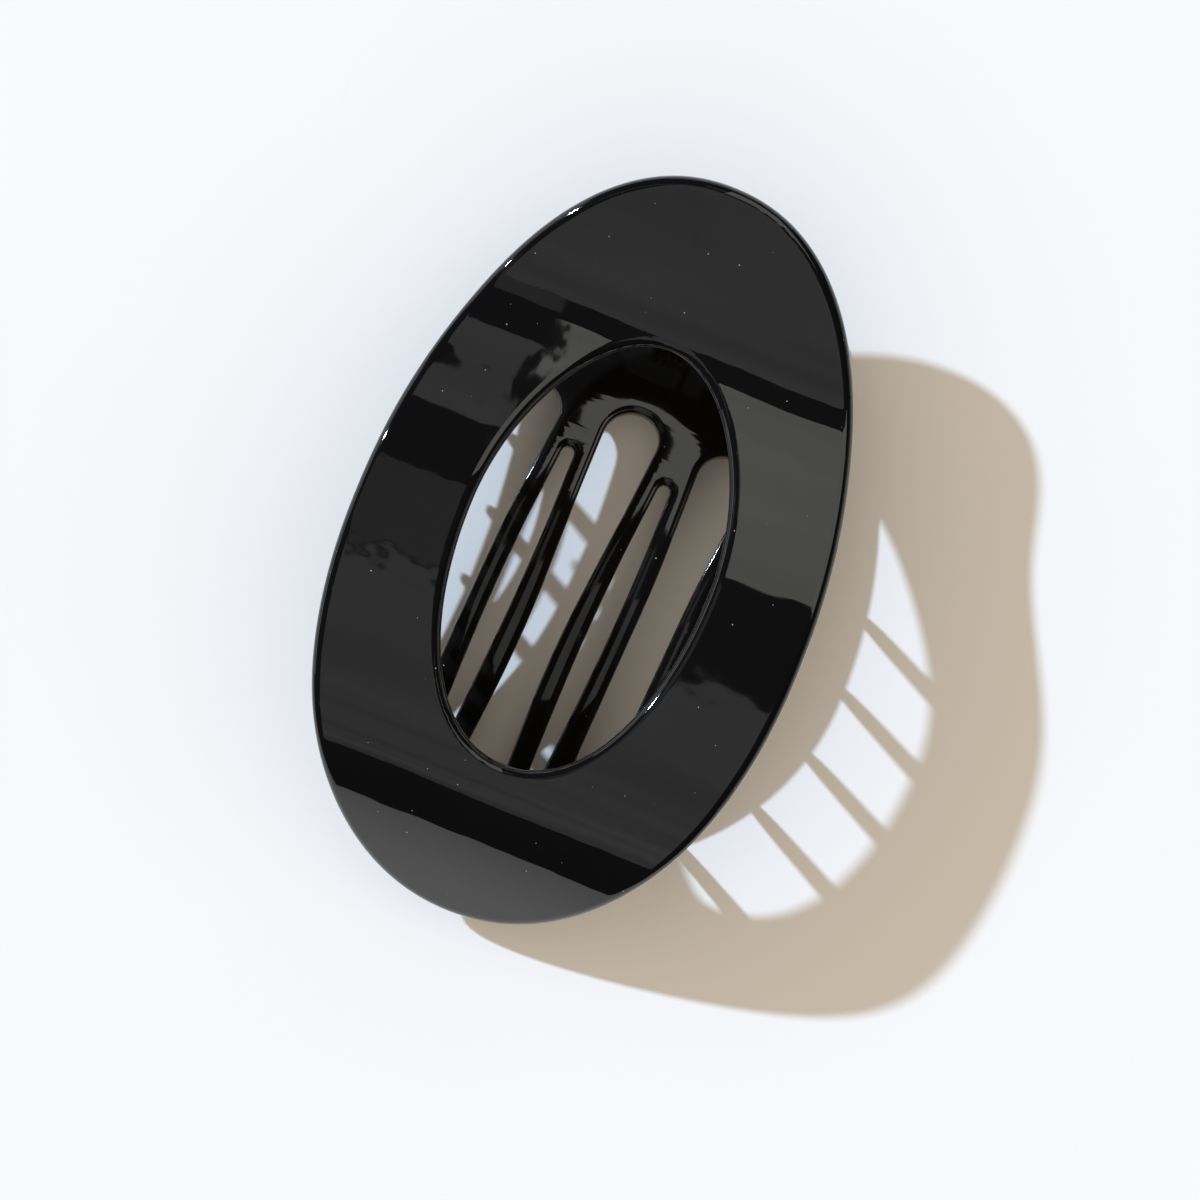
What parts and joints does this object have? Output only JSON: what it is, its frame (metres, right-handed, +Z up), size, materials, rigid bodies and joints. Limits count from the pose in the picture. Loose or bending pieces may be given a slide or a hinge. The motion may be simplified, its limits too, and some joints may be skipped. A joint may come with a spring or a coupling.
{
  "type": "hair claw clip",
  "caption": "Flat oval hair claw clip: curved ring-shaped front plate with side teeth, arched comb jaw, hinge pin and torsion spring.",
  "frame": {"origin": "centre of the clip's box in X and Y, on the floor that the back jaw lies on", "axes": "+Y along the clip towards the finger tabs, -Y towards the gripping tip, +Z up from the back jaw to the front plate, +X across the clip"},
  "size_m": [0.0644, 0.107, 0.0289],
  "materials": {
    "gloss_black_plate": "moulded, mirror gloss",
    "gloss_black_jaw": "moulded, gloss",
    "pin_steel": "drawn wire, bright",
    "spring_steel": "drawn spring wire"
  },
  "bodies": {
    "back_jaw": {"back_jaw": "gloss_black_jaw", "hinge_pin": "pin_steel", "torsion_spring": "spring_steel"},
    "front_plate": {"front_plate": "gloss_black_plate"}
  },
  "joints": [
    {"name": "jaw_hinge", "type": "hinge", "parent": "back_jaw", "child": "front_plate", "pos_m": [0, 0.0355, 0.013], "axis": [-1, 0, 0], "range_deg": [0, 42], "stiffness_Nm_per_rad": 0.06, "springref_deg": -57.3, "deforming": ["torsion_spring"]}
  ]
}
